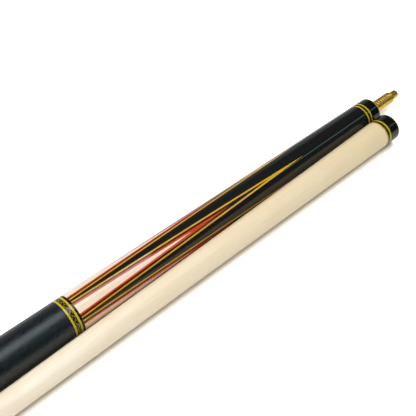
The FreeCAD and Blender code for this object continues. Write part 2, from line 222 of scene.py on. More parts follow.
class Finish:
    """A procedural material: one Principled shader with textures wired into it.

    Textures are placed by the piece's own axis_place, its half's frame in millimetres."""

    def __init__(self, name, slot, on_cad=False, **values):
        self.slot = slot
        self.material = bpy.data.materials.new(name)
        self.material.use_nodes = True
        self.tree = self.material.node_tree
        self.shader = self.tree.nodes["Principled BSDF"]
        for socket, value in values.items():
            self.shader.inputs[socket.replace("_", " ")].default_value = value
        self.normal = None
        if on_cad:
            place = self.add("ShaderNodeTexCoord").outputs["Object"]
            self.place = self.scaled(place, (1 / MM,) * 3)
        else:
            node = self.add("ShaderNodeAttribute")
            node.attribute_name = "axis_place"
            self.place = node.outputs["Vector"]

    def add(self, kind, **values):
        node = self.tree.nodes.new(kind)
        for name, value in values.items():
            setattr(node, name, value)
        return node

    def link(self, source, socket):
        if hasattr(source, "links"):
            self.tree.links.new(source, socket)
        else:
            socket.default_value = source

    def scaled(self, vector, scale):
        node = self.add("ShaderNodeMapping")
        self.link(vector, node.inputs["Vector"])
        node.inputs["Scale"].default_value = scale
        return node.outputs["Vector"]

    def noise(self, scale, detail=3.0, roughness=0.55, distortion=0.0):
        """Noise from 0 to 1; scale is how many features there are to a millimetre along x, y and z."""
        node = self.add("ShaderNodeTexNoise")
        self.link(self.scaled(self.place, scale), node.inputs["Vector"])
        node.inputs["Scale"].default_value = 1.0
        node.inputs["Detail"].default_value = detail
        node.inputs["Roughness"].default_value = roughness
        node.inputs["Distortion"].default_value = distortion
        return node.outputs["Fac"]

    def cells(self, scale):
        node = self.add("ShaderNodeTexVoronoi", feature="SMOOTH_F1")
        self.link(self.scaled(self.place, (scale,) * 3), node.inputs["Vector"])
        node.inputs["Scale"].default_value = 1.0
        return node.outputs["Distance"]

    def spread(self, value, low, high, to_low=0.0, to_high=1.0):
        """value between low and high, moved to the range to_low to to_high."""
        node = self.add("ShaderNodeMapRange")
        for name, given in zip(("Value", "From Min", "From Max", "To Min", "To Max"),
                               (value, low, high, to_low, to_high)):
            self.link(given, node.inputs[name])
        return node.outputs["Result"]

    def math(self, operation, *values):
        return shader_math(self.tree, operation, *values)

    def along(self):
        """Millimetres behind the joint face."""
        node = self.add("ShaderNodeSeparateXYZ")
        self.link(self.place, node.inputs["Vector"])
        return node.outputs["X"]

    def mix(self, amount, first, second):
        node = self.add("ShaderNodeMix", data_type="RGBA")
        self.link(amount, node.inputs["Factor"])
        for name, colour in (("A", first), ("B", second)):
            socket = next(s for s in node.inputs if s.name == name and s.type == "RGBA")
            self.link(colour if hasattr(colour, "links") else (*colour, 1.0), socket)
        return next(s for s in node.outputs if s.type == "RGBA")

    def colour(self, source):
        self.link(source, self.shader.inputs["Base Color"])

    def roughness(self, source):
        self.link(source, self.shader.inputs["Roughness"])

    def bump(self, height, depth, under_coat=False):
        """Raises the surface by depth millimetres where height is 1; bumps add up."""
        node = self.add("ShaderNodeBump")
        node.inputs["Strength"].default_value = 1.0
        node.inputs["Distance"].default_value = depth * MM
        self.link(height, node.inputs["Height"])
        if self.normal:
            self.link(self.normal, node.inputs["Normal"])
        self.normal = node.outputs["Normal"]
        self.link(self.normal, self.shader.inputs["Normal"])
        if not under_coat:
            self.link(self.normal, self.shader.inputs["Coat Normal"])


def wood(finish, light, dark, fibre=1.4, contrast=1.0):
    """Straight grain: long fibres, slow changes of tone, and short dark pores; returns the colour."""
    fibres = finish.noise((0.02, fibre, fibre), detail=4.0, roughness=0.6)
    tone = finish.noise((0.006, 0.16, 0.16), detail=2.0, distortion=0.6)
    pores = finish.noise((0.22, fibre * 3, fibre * 3), detail=2.0)
    fibres_share = finish.math("MULTIPLY", fibres, 0.55)
    grain = finish.math("ADD", fibres_share, finish.math("MULTIPLY", tone, 0.45))
    half_range = 0.22 / contrast
    base = finish.mix(finish.spread(grain, 0.5 - half_range, 0.5 + half_range), dark, light)
    finish.bump(fibres, 0.02, under_coat=True)
    return finish.mix(finish.spread(pores, 0.68, 0.8, 0.0, 0.35), base, dark)


def lacquered(name, slot, light, dark, fibre=1.4):
    """Wood under a clear gloss lacquer that has levelled almost flat."""
    finish = Finish(name, slot, Coat_Weight=1.0, Coat_Roughness=0.04, Specular_IOR_Level=0.2)
    finish.colour(wood(finish, light, dark, fibre))
    finish.roughness(finish.spread(finish.noise((0.05, 0.9, 0.9)), 0.3, 0.7, 0.42, 0.6))
    return finish


def turned_resin(name, slot, light, dark, roughness=0.12):
    """Polished resin or fibre with faint lathe lines round it and hairline wear."""
    finish = Finish(name, slot)
    mottle = finish.noise((1.2, 0.8, 0.8), detail=3.0)
    finish.colour(finish.mix(finish.spread(mottle, 0.3, 0.7), dark, light))
    lines = finish.noise((9.0, 0.02, 0.02), detail=3.0)
    wear = finish.noise((0.25, 2.5, 2.5), detail=4.0, distortion=0.8)
    finish.roughness(finish.spread(wear, 0.35, 0.75, roughness, roughness * 2.2))
    finish.bump(lines, 0.0015)
    return finish


def metal(name, slot, light, dark, roughness, turning=0.002, on_cad=False):
    """Turned metal; turning is how deep the lathe's marks are, in millimetres."""
    finish = Finish(name, slot, on_cad=on_cad, Metallic=1.0)
    tarnish = finish.noise((0.12, 0.35, 0.35), detail=4.0, distortion=0.5)
    finish.colour(finish.mix(finish.spread(tarnish, 0.42, 0.7), light, dark))
    marks = finish.noise((7.0, 0.05, 0.05), detail=2.0)
    finish.roughness(finish.spread(marks, 0.3, 0.7, roughness, roughness * 1.7))
    finish.bump(marks, turning)
    return finish


def leather():
    """Smooth black leather: fine pebble, soft creases, and a dull sheen where hands have worn it."""
    finish = Finish("wrap_leather", "wrap_leather", Sheen_Weight=0.04, Sheen_Roughness=0.4,
                    Specular_Tint=(0.84, 0.95, 1.0, 1.0), Specular_IOR_Level=0.65)
    pebble = finish.cells(2.2)
    crease = finish.noise((0.35, 0.5, 0.5), detail=5.0, roughness=0.65, distortion=0.5)
    worn = finish.spread(crease, 0.3, 0.7)
    finish.colour(finish.mix(worn, (0.0035, 0.0045, 0.006), (0.008, 0.010, 0.0125)))
    finish.roughness(finish.spread(crease, 0.3, 0.7, 0.25, 0.40))
    finish.bump(crease, 0.06)
    finish.bump(pebble, 0.06)
    return finish


def rubber():
    finish = Finish("bumper_rubber", "rubber", Specular_IOR_Level=0.3)
    grit = finish.noise((3.0, 3.0, 3.0), detail=4.0)
    dusty = finish.spread(grit, 0.3, 0.7)
    finish.colour(finish.mix(dusty, (0.010, 0.010, 0.010), (0.028, 0.027, 0.026)))
    finish.roughness(finish.spread(grit, 0.3, 0.7, 0.6, 0.85))
    finish.bump(grit, 0.05)
    return finish


def shaft_maple():
    """Sealed hard maple, with painted shade that makes it darker and warmer for a hand's width behind the
    joint.
    """
    finish = Finish("shaft_maple", "shaft_maple", Specular_IOR_Level=0.5)
    plain = wood(finish, (0.98, 0.89, 0.74), (0.88, 0.74, 0.53), fibre=1.1, contrast=1.5)
    figure = finish.noise((0.025, 0.13, 0.13), detail=2.0, distortion=1.2)
    plain = finish.mix(finish.spread(figure, 0.42, 0.62, 0.0, 0.5), plain, (0.90, 0.73, 0.55))
    # Painted shade: toward the joint the colour turns darker and warmer, standing in for the light falling
    # off there.
    joint_shade = finish.spread(finish.along(), 10.0, 330.0, 0.75, 0.0)
    finish.colour(finish.mix(joint_shade, plain, (0.72, 0.56, 0.29)))
    finish.roughness(finish.spread(finish.noise((0.05, 0.8, 0.8)), 0.3, 0.7, 0.34, 0.46))
    return finish


def pressed_leather():
    """The tip: thin pressed layers, roughened, with chalk left in its crown."""
    finish = Finish("tip_leather", "tip_leather", Specular_IOR_Level=0.25)
    layers = finish.noise((4.5, 0.3, 0.3), detail=2.0)
    fuzz = finish.noise((2.5, 2.5, 2.5), detail=5.0)
    brown = finish.mix(finish.spread(layers, 0.35, 0.65), (0.10, 0.050, 0.024), (0.24, 0.135, 0.07))
    start = shaft.span("cue_tip")[0] / MM
    crown = finish.spread(finish.along(), start + 2.5, start + 5.5, 0.0, 0.8)
    chalk = finish.math("MULTIPLY", crown, finish.spread(fuzz, 0.42, 0.6))
    finish.colour(finish.mix(chalk, brown, (0.16, 0.33, 0.50)))
    finish.roughness(finish.spread(fuzz, 0.3, 0.7, 0.75, 0.95))
    finish.bump(fuzz, 0.12)
    return finish


def ivory_resin():
    finish = Finish("ferrule_resin", "ferrule", Subsurface_Weight=0.15, Subsurface_Scale=0.004)
    lines = finish.noise((6.0, 0.05, 0.05), detail=2.0)
    stain = finish.noise((0.08, 0.3, 0.3), detail=3.0)
    finish.colour(finish.mix(finish.spread(stain, 0.35, 0.75), (0.86, 0.84, 0.78), (0.78, 0.74, 0.66)))
    finish.roughness(finish.spread(lines, 0.3, 0.7, 0.22, 0.34))
    finish.bump(lines, 0.0008)
    return finish


def tarnished_gold():
    """The scroll's raised foil: olive gold, dulled in the hollows."""
    finish = Finish("scroll_gold", "scroll_band", Metallic=0.25)
    dull = finish.noise((2.2, 2.2, 2.2), detail=4.0)
    finish.colour(finish.mix(finish.spread(dull, 0.35, 0.7), (0.40, 0.33, 0.04), (0.17, 0.14, 0.025)))
    finish.roughness(finish.spread(dull, 0.3, 0.7, 0.28, 0.5))
    finish.bump(dull, 0.01)
    return finish


EBONY = lacquered("ebony", "ebony", (0.0055, 0.0055, 0.0060), (0.0020, 0.0020, 0.0022), fibre=0.9)
POINT_MAPLE = lacquered("point_maple", "point_maple", (0.95, 0.82, 0.67), (0.84, 0.65, 0.46))
RED_VENEER = lacquered("red_veneer", "red_veneer", (0.80, 0.055, 0.002), (0.58, 0.026, 0.001))
BLACK_VENEER = lacquered("black_veneer", "black_veneer", (0.007, 0.006, 0.006), (0.003, 0.003, 0.003))
YELLOW_VENEER = lacquered("yellow_veneer", "yellow_veneer", (0.78, 0.44, 0.002), (0.60, 0.29, 0.001))
BLACK_RESIN = turned_resin(
    "black_resin", "black_resin", (0.0055, 0.0055, 0.006), (0.0035, 0.0035, 0.004), 0.07)
SPACER_RESIN = turned_resin("spacer_resin", "spacer_resin", (0.040, 0.032, 0.012), (0.022, 0.017, 0.007))
YELLOW_RING = turned_resin("yellow_ring", "yellow_ring", (0.66, 0.50, 0.008), (0.50, 0.36, 0.006))
SCROLL_BLACK = turned_resin(
    "scroll_band_black", "scroll_band", (0.010, 0.010, 0.010), (0.005, 0.005, 0.005))
SCROLL_GOLD = tarnished_gold()
BRASS = metal("brass", "brass", (0.98, 0.64, 0.14), (0.80, 0.46, 0.07), 0.3, turning=0.02)
GILT = turned_resin("gilt_edge", "black_resin", (0.52, 0.39, 0.05), (0.36, 0.26, 0.03), 0.3)
STEEL = metal("steel", "steel", (0.58, 0.59, 0.61), (0.40, 0.40, 0.41), 0.28, on_cad=True)
LEATHER = leather()
RUBBER = rubber()
SHAFT_MAPLE = shaft_maple()
FERRULE = ivory_resin()
FIBRE = turned_resin("red_fibre", "fibre", (0.33, 0.045, 0.022), (0.22, 0.030, 0.016), 0.4)
TIP_LEATHER = pressed_leather()
CORE_MAPLE = Finish("core_maple", "core_maple", on_cad=True)
CORE_MAPLE.colour(wood(CORE_MAPLE, (0.74, 0.57, 0.38), (0.58, 0.41, 0.24)))


# ---------------------------------------------------------------- making pieces

def make_piece(name, half, points, faces, finish, nodes=(), body=None, normals=None):
    """A piece in the row frame, from points in its half's frame; normals has one for each face corner."""
    mesh = bpy.data.meshes.new(name)
    points = np.asarray(points)
    world = np.c_[points, np.ones(len(points))] @ np.array(half.matrix).T
    mesh.from_pydata(world[:, :3].tolist(), [], faces)
    place = mesh.attributes.new("axis_place", "FLOAT_VECTOR", "POINT")
    place.data.foreach_set("vector", (points / MM).astype(np.float32).ravel())
    mesh.shade_smooth()
    if normals is None:
        mesh.set_sharp_from_angle(angle=SHARP_EDGE)
    else:
        turned = np.asarray(normals) @ np.array(half.matrix.to_3x3()).T
        mesh.normals_split_custom_set(turned.tolist())
    mesh.materials.append(finish.material)
    mesh.validate()
    piece = bpy.data.objects.new(name, mesh)
    bpy.context.scene.collection.objects.link(piece)
    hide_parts(*nodes)
    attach(piece, body or half.body)
    return piece


def soften(corners, closed):
    """Turns corners (x, radius, bevel) into an outline: points, with their normals before and after."""
    count = len(corners)
    spots = [np.array(c[:2], float) for c in corners]
    bevels = [c[2] if len(c) > 2 else 0.0 for c in corners]
    outline = []
    for i, spot in enumerate(spots):
        first, last = not closed and i == 0, not closed and i == count - 1
        before = None if first else unit(spot - spots[i - 1])
        after = None if last else unit(spots[(i + 1) % count] - spot)
        before, after = (after if first else before), (before if last else after)
        turn = math.acos(max(-1.0, min(1.0, float(before @ after))))
        if bevels[i]:
            for step in range(BEVEL_STEPS + 1):
                t = step / BEVEL_STEPS
                point = spot - before * bevels[i] * (1 - t) ** 2 + after * bevels[i] * t ** 2
                normal = outward(unit(before * (1 - t) + after * t))
                outline.append((point, normal, normal))
        elif turn < SMOOTH_TURN:
            normal = outward(unit(before + after))
            outline.append((spot, normal, normal))
        else:
            outline.append((spot, outward(before), outward(after)))
    return outline


def unit(vector):
    return vector / np.linalg.norm(vector)


def outward(direction):
    """The normal on the outer side of an outline that runs front to back."""
    return np.array((-direction[1], direction[0]))


def around():
    """Angles round the axis, from straight up toward +Y."""
    return np.arange(SEGMENTS) * (FULL_TURN / SEGMENTS)


def spun(x, radius, angle):
    """Points, or directions, at these places round the axis."""
    x, radius, angle = np.broadcast_arrays(x, radius, angle)
    return np.stack((x, radius * np.sin(angle), radius * np.cos(angle)), axis=-1)


def lathe(name, half, corners, finish, nodes=(), body=None, closed=False):
    """A solid of revolution. Its outline runs from axis to axis or, closed, round the wall of a tube."""
    outline = soften(corners, closed)
    angles = around()
    points, rows = [], []
    for (x, radius), _, _ in outline:
        size = SEGMENTS if radius > ON_AXIS else 1
        rows.append(np.arange(size) + len(points) if size > 1 else np.full(SEGMENTS, len(points)))
        points.extend(spun(x, radius, angles[:size]).tolist())
    faces, normals = [], []
    runs = [(a, a + 1) for a in range(len(outline) - 1)]
    if closed:
        runs.append((len(outline) - 1, 0))
    for a, b in runs:
        leaving, reaching = outline[a][2], outline[b][1]
        for j in range(SEGMENTS):
            k = (j + 1) % SEGMENTS
            corners_here = [(rows[a][j], leaving, j), (rows[b][j], reaching, j),
                            (rows[b][k], reaching, k), (rows[a][k], leaving, k)]
            kept = [c for i, c in enumerate(corners_here) if c[0] != corners_here[i - 1][0]]
            faces.append([int(c[0]) for c in kept])
            normals.extend(spun(n[0], n[1], angles[at]) for _, n, at in kept)
    return make_piece(name, half, points, faces, finish, nodes, body, normals)


def shaped_lathe(name, half, stations, angles, finish, nodes):
    """A solid whose radius also changes round the axis, closed by a flat face at both ends.

    stations are (x, radius), where radius is one number or one for each angle."""
    size = len(angles)
    points, faces = [], []
    for x, radius in stations:
        points.extend(spun(x, radius, angles).tolist())
    for i in range(len(stations) - 1):
        for j in range(size):
            k = (j + 1) % size
            faces.append([i * size + j, (i + 1) * size + j, (i + 1) * size + k, i * size + k])
    last = (len(stations) - 1) * size
    faces.append(list(range(size)))
    faces.append(list(reversed(range(last, last + size))))
    make_piece(name, half, points, faces, finish, nodes)


def tube_corners(half, node, front=FLUSH_BEVEL, back=FLUSH_BEVEL, sunk=0.0):
    """The wall of a ring or sleeve, its outer edges bevelled; sunk says how far its outside lies in."""
    start, end = half.span(node)
    outer_start, outer_end = half.wall(node)
    inner_start, inner_end = half.radii(node, start)[0], half.radii(node, end)[0]
    return [(start, outer_start - sunk, front), (end, outer_end - sunk, back),
            (end, inner_end), (start, inner_start)]


def ring(half, node, finish, sunk=0.0):
    lathe(node + "_turned", half, tube_corners(half, node, sunk=sunk), finish, (node,), closed=True)


# ---------------------------------------------------------------- rings, collars and sleeves

def gilded_collar(half, node):
    """A black collar with a thin gilt line on its front edge."""
    corners = tube_corners(half, node, front=COLLAR_BEVEL)
    (start, radius), (end, back_radius) = corners[0][:2], corners[1][:2]
    slope = (back_radius - radius) / (end - start)
    corners.insert(1, (start + GILT_WIDTH, radius + slope * GILT_WIDTH))
    mesh = lathe(node + "_turned", half, corners, BLACK_RESIN, (node,), closed=True).data
    mesh.materials.append(GILT.material)
    place = np.empty(len(mesh.vertices) * 3)
    mesh.attributes["axis_place"].data.foreach_get("vector", place)
    place = place.reshape(-1, 3) * MM
    on_rim = np.hypot(place[:, 1], place[:, 2]) > radius - COLLAR_BEVEL * 1.01
    gilt = on_rim & (place[:, 0] < start + GILT_WIDTH * 1.01)
    for face in mesh.polygons:
        face.material_index = int(all(gilt[v] for v in face.vertices))


def joint_end(half, prefix):
    """The collar and the three rings behind a joint face."""
    gilded_collar(half, prefix + "_collar")
    ring(half, prefix + "_joint_ring_front", YELLOW_RING)
    ring(half, prefix + "_joint_spacer", SPACER_RESIN)
    ring(half, prefix + "_joint_ring_rear", YELLOW_RING)


def ribbon(path, widths, radius, base, points, faces):
    """Adds a raised strip to points and faces: path is (along, around) on a cylinder of that radius."""
    path = np.asarray(path)
    heading = np.gradient(path, axis=0)
    across = np.c_[-heading[:, 1], heading[:, 0]] / np.hypot(*heading.T)[:, None]
    foot, top = -VINE_HEIGHT / 2, VINE_HEIGHT
    profile = ((-1.0, foot), (-0.8, top), (0.8, top), (1.0, foot))
    start = len(points)
    for spot, side, width in zip(path, across, widths):
        for reach, rise in profile:
            x, arc = spot + side * (reach * width / 2)
            points.append(spun(base + x, radius + rise, arc / radius).tolist())
    size = len(profile)
    for i in range(len(path) - 1):
        for j in range(size):
            k = (j + 1) % size
            a, b = start + i * size, start + (i + 1) * size
            faces.append([a + j, a + k, b + k, b + j])
    faces.append([start + j for j in reversed(range(size))])
    faces.append([start + (len(path) - 1) * size + j for j in range(size)])


def scroll_band(node):
    """A black band with a raised vine that waves round it and curls into each of its bays."""
    ring(butt, node, SCROLL_BLACK, sunk=VINE_HEIGHT)
    start, end = butt.span(node)
    middle, room = (start + end) / 2, end - start
    radius = butt.radii(node, start)[1] - VINE_HEIGHT
    length = FULL_TURN * radius
    wave = length / SCROLLS
    points, faces = [], []
    arcs = np.linspace(0, length, SCROLLS * VINE_STEPS + 1)
    vine = np.c_[VINE_SWING * room * np.sin(arcs / wave * FULL_TURN), arcs]
    ribbon(vine, np.full(len(arcs), VINE_WIDTH * room), radius, middle, points, faces)
    turn = np.linspace(0, 1, CURL_STEPS + 1)
    for bay in range(2 * SCROLLS):
        side = 1 if bay % 2 else -1
        angle = side * turn * CURL_TURN
        reach = wave * np.interp(turn, (0, 1), CURL_REACHES)
        along = side * (CURL_OFFSET * room - reach * np.cos(angle) * CURL_SQUEEZE)
        across = (bay / 2 + 0.25) * wave - side * reach * np.sin(angle)
        widths = room * np.interp(turn, (0, 1), CURL_WIDTHS)
        ribbon(np.c_[along, across], widths, radius, middle, points, faces)
    make_piece(node + "_vine", butt, points, faces, SCROLL_GOLD)


def wrap_ends():
    for end in ("front", "rear"):
        ring(butt, f"wrap_{end}_trim_ring", BLACK_RESIN)
        ring(butt, f"wrap_{end}_ring_outer", YELLOW_RING)
        ring(butt, f"wrap_{end}_ring_inner", YELLOW_RING)
        scroll_band(f"wrap_{end}_scroll_band")


def butt_end():
    """The sleeve, the cap's rings, the cap and the rubber bumper."""
    ring(butt, "butt_sleeve", EBONY)
    ring(butt, "cap_ring_front", YELLOW_RING)
    ring(butt, "cap_spacer", SPACER_RESIN)
    ring(butt, "cap_ring_rear", YELLOW_RING)
    wall, rim, (end, bore), (start, tenon) = tube_corners(butt, "butt_cap", back=CAP_BEVEL)
    step = butt.span("handle_core")[1]
    corners = [wall, rim, (end, bore, BORE_BEVEL), (step, bore), (step, tenon), (start, tenon)]
    lathe("butt_cap_turned", butt, corners, BLACK_RESIN, ("butt_cap",), closed=True)
    start, end = butt.span("bumper")
    points = butt.points("bumper")
    radius = np.hypot(points[:, 1], points[:, 2])
    stem, head = butt.radii("bumper", start)[1], radius.max()
    shoulder = points[radius > (stem + head) / 2][:, 0].min()
    floor = end - DIMPLE_DEPTH
    corners = [
        (start, 0), (start, stem), (shoulder, stem), (shoulder, head, SHOULDER_BEVEL),
        (end, head, BUMPER_ROUNDING), (end, head * DIMPLE_SIZE[0], DIMPLE_EDGE),
        (floor, head * DIMPLE_SIZE[1], DIMPLE_EDGE), (floor, 0),
    ]
    lathe("bumper_turned", butt, corners, RUBBER, ("bumper",), body="rear_bumper")


def wrap():
    """The leather: pulled round the handle, butted in one seam underneath, and rolled at both ends."""
    start, end = butt.span("wrap")
    inner, front = butt.radii("wrap", start)
    back = butt.radii("wrap", end)[1]
    near_seam = np.linspace(-1, 1, SEAM_STEPS + 1) * SEAM_WIDTH / front
    open_turn = np.linspace(near_seam[-1], FULL_TURN + near_seam[0], WRAP_SEGMENTS)[1:-1]
    angles = SEAM_PLACE + np.concatenate((near_seam, open_turn))
    away = (angles - SEAM_PLACE + math.pi) % FULL_TURN - math.pi
    seam = SEAM_DEPTH * np.exp(-(away * front / (SEAM_WIDTH * 0.4)) ** 2)
    quarter = np.linspace(0, math.pi / 2, ROLL_STEPS)
    roll = [LEATHER_ROLL * (1 - math.cos(t)) for t in quarter]
    drop = [LEATHER_ROLL * (1 - math.sin(t)) for t in quarter]
    middle = np.linspace(start + LEATHER_ROLL, end - LEATHER_ROLL, WRAP_STATIONS)[1:-1]
    places = [start + r for r in roll] + list(middle) + [end - r for r in reversed(roll)]
    drops = drop + [0.0] * len(middle) + list(reversed(drop))
    stations = [(start, np.full(len(angles), inner))]
    first, second = WRAP_RIPPLES
    for x, low in zip(places, drops):
        radius = front + (back - front) * (x - start) / (end - start)
        pull = np.sin(x / first + 3 * angles) * np.sin(x / second - 2 * angles)
        stations.append((x, radius - low - seam - WRAP_PULL * (1 - pull)))
    stations.append((end, np.full(len(angles), inner)))
    shaped_lathe("wrap_leather", butt, stations, angles, LEATHER, ("wrap",))


# ---------------------------------------------------------------- the spliced forearm

LAYERS = (("yellow_veneer", YELLOW_VENEER), ("black_veneer", BLACK_VENEER), ("red_veneer", RED_VENEER),
          ("point_core", POINT_MAPLE))


class Splice:
    """The nested right-angled V grooves in the forearm: where each layer starts, and how deep it runs."""

    def __init__(self):
        self.start, self.end = butt.span("butt_joint_ring_rear")[1], butt.span("forearm")[1]
        self.front = butt.radii("butt_joint_ring_rear", self.start)[1]
        self.back = butt.radii("wrap_front_trim_ring", self.end)[1]
        self.slope = (self.back - self.front) / (self.end - self.start)
        self.tips = [butt.span(layer + "_1")[0] for layer, _ in LAYERS]
        self.floors = [butt.radii(layer + "_1", self.end)[0] for layer, _ in LAYERS]
        plain = np.linspace(self.tips[0], self.end, SPLICE_STATIONS)
        self.stations = np.unique(np.concatenate((plain, self.tips)))
        self.count = sum(n.startswith("point_core_") for n in frame["nodes"])

    def radius(self, x):
        return self.front + self.slope * (x - self.start)

    def vee(self, layer, x):
        """The radius of a layer's lowest line, and half the angle of its groove at the surface."""
        radius = self.radius(x)
        if layer == len(LAYERS) or x <= self.tips[layer]:
            return radius, 0.0
        tip, floor = self.tips[layer], self.floors[layer]
        low = self.radius(tip) + (floor - self.radius(tip)) * (x - tip) / (self.end - tip)
        reach = (math.sqrt(2 * radius ** 2 - low ** 2) - low) / 2
        return low, math.atan2(reach, low + reach)

    def centre(self, number):
        """The angle of one point's middle, read from its core."""
        y, z = butt.points(f"point_core_{number}")[:, 1:].mean(axis=0)
        return math.atan2(y, z)


def lofted(name, splice, sections, finish, nodes):
    """A closed loft through matching sections of (x, radius, angle); its skin has the cone's normals."""
    size = len(sections[0])
    mesh = bmesh.new()
    rows = [[mesh.verts.new(spun(*corner)) for corner in section] for section in sections]
    for ahead, behind in zip(rows, rows[1:]):
        for j in range(size):
            k = (j + 1) % size
            mesh.faces.new((ahead[j], behind[j], behind[k], ahead[k]))
    mesh.faces.new(rows[0])
    mesh.faces.new(list(reversed(rows[-1])))
    bmesh.ops.remove_doubles(mesh, verts=mesh.verts, dist=1e-7)
    bmesh.ops.dissolve_degenerate(mesh, edges=mesh.edges, dist=1e-8)
    bmesh.ops.recalc_face_normals(mesh, faces=mesh.faces)
    mesh.verts.index_update()
    points = np.array([v.co for v in mesh.verts])
    radius = np.hypot(points[:, 1], points[:, 2])
    skin = radius > [splice.radius(x) - 1e-6 for x in points[:, 0]]
    faces, normals = [], []
    for face in mesh.faces:
        corners = [v.index for v in face.verts]
        faces.append(corners)
        on_skin = all(skin[c] for c in corners) and abs(face.normal.x) < 0.5
        for c in corners:
            radial = unit(np.array((-splice.slope, points[c][1] / radius[c], points[c][2] / radius[c])))
            normals.append(radial if on_skin else np.array(face.normal))
    mesh.free()
    make_piece(name, butt, points, faces, finish, nodes, normals=normals)


def arc(x, radius, first, last, steps):
    return [(x, radius, angle) for angle in np.linspace(first, last, steps + 1)]


def forearm():
    splice = Splice()
    centres = sorted(splice.centre(n + 1) % FULL_TURN for n in range(splice.count))
    sections = []
    for x in (splice.start, *splice.stations):
        low, half_open = splice.vee(0, x)
        section = []
        for this, following in zip(centres, centres[1:] + [centres[0] + FULL_TURN]):
            section.append((x, low, this))
            section += arc(x, splice.radius(x), this + half_open, following - half_open, SKIN_STEPS)
        sections.append(section)
    lofted("forearm_ebony", splice, sections, EBONY, ("forearm",))
    inner = butt.radii("butt_collar", 0.0)[0]
    pin = butt.radii("joint_pin", butt.span("joint_pin")[1])[1]
    tenon = [(TENON_START, inner, JOINT_EDGE), (splice.start, inner),
             (splice.start, pin), (TENON_START, pin, JOINT_EDGE)]
    lathe("forearm_tenon", butt, tenon, EBONY, closed=True)
    for number in range(1, splice.count + 1):
        for layer, (kind, finish) in enumerate(LAYERS):
            point_layer(splice, number, layer, kind, finish)


def point_layer(splice, number, layer, kind, finish):
    """One veneer of one point, or its core: what lies between its own groove and the next one in."""
    centre = splice.centre(number)
    last = layer == len(LAYERS) - 1
    sections = []
    for x in splice.stations[splice.stations >= splice.tips[layer] - 1e-9]:
        radius = splice.radius(x)
        low, outer = splice.vee(layer, x)
        section = [(x, low, centre)]
        if last:
            section += arc(x, radius, centre - outer, centre + outer, CORE_STEPS)[::-1]
        else:
            inner_low, inner = splice.vee(layer + 1, x)
            section += arc(x, radius, centre + outer, centre + inner, VENEER_STEPS)
            section += [(x, inner_low, centre)]
            section += arc(x, radius, centre - inner, centre - outer, VENEER_STEPS)
        sections.append(section)
    node = f"{kind}_{number}"
    lofted(f"{node}_inlay", splice, sections, finish, (node,))


# ---------------------------------------------------------------- the joint, the shaft and the tip

def thread(x, angle, first, last):
    """How deep a right-hand thread is here, from 0 at its crest to 1 at its root; it fades at both ends."""
    phase = (x / THREAD_PITCH + angle / FULL_TURN) % 1.0
    cut = np.clip((np.cos(phase * FULL_TURN) + THREAD_SHIFT) / THREAD_FLANK, 0.0, 1.0)
    fade = np.clip(min(x - first, last - x) / THREAD_FADE, 0.0, 1.0)
    return cut * fade


def joint_pin():
    """The brass pin: threaded, then a 45 degree shoulder and a plain pilot."""
    start, end = butt.span("joint_pin")
    shank = butt.radii("joint_pin", end)[1]
    pilot = butt.rim("joint_pin", start)[1]
    crest = mount("joint_pin")["dims"]["r_mm"] * MM
    shoulder = -mount("joint_pin")["dims"]["length_mm"] * MM
    pilot_start = shoulder - (crest - pilot)
    angles = around()
    stations = []
    for t in np.linspace(0, math.pi / 2, PILOT_STEPS + 1):
        back, inward = PILOT_BEVEL * (1 - math.cos(t)), PILOT_BEVEL * (1 - math.sin(t))
        stations.append((start + back, pilot - inward))
    stations += [(start + 1.3 * PILOT_BEVEL, pilot), (pilot_start, pilot), (shoulder, crest)]
    for x in np.linspace(shoulder, 0, THREAD_STATIONS)[1:-1]:
        stations.append((x, crest - THREAD_DEPTH * thread(x, angles, shoulder, 0.0)))
    stations += [(0.0, crest), (0.0, shank), (end, shank)]
    shaped_lathe("joint_pin_brass", butt, stations, angles, BRASS, ("joint_pin",))


def shaft_insert():
    """The brass insert inside the shaft, with a plain bore that clears the pin."""
    start, end = shaft.span("shaft_insert")
    bore, outer = shaft.radii("shaft_insert", start)
    outer -= INSERT_PLAY
    corners = [(start, outer, INSERT_BEVEL), (end, outer, INSERT_BEVEL),
               (end, bore), (start, bore, BORE_BEVEL)]
    lathe("shaft_insert_brass", shaft, corners, BRASS, ("shaft_insert",), body="insert", closed=True)


def shaft_wood():
    """The maple, on a taper that ends straight, with its socket for the insert."""
    face = max(shaft.span("shaft_wood")[0], 0.0)
    seat = shaft.span("shaft_joint_ring_rear")[1]
    ferrule_start = shaft.span("ferrule")[0]
    socket = shaft.radii("shaft_insert", 0.0)[1]
    tenon = shaft.radii("shaft_collar", 0.0)[0]
    front = shaft.radii("shaft_joint_ring_rear", seat)[1]
    back = shaft.radii("ferrule", ferrule_start)[1]
    straight = ferrule_start - TAPER_STRAIGHT
    depth = shaft.span("shaft_insert")[1] + INSERT_PLAY
    full = (front - back) / (1 - seat / straight) ** 2
    corners = [(depth, 0.0), (depth, socket), (face, socket, JOINT_EDGE),
               (face, tenon, JOINT_EDGE), (seat, tenon), (seat, front)]
    for x in np.linspace(seat, straight, TAPER_STATIONS)[1:]:
        corners.append((x, back + full * (1 - x / straight) ** 2))
    corners += [(ferrule_start, back), (ferrule_start, 0.0)]
    lathe("shaft_maple", shaft, corners, SHAFT_MAPLE, ("shaft_wood",))


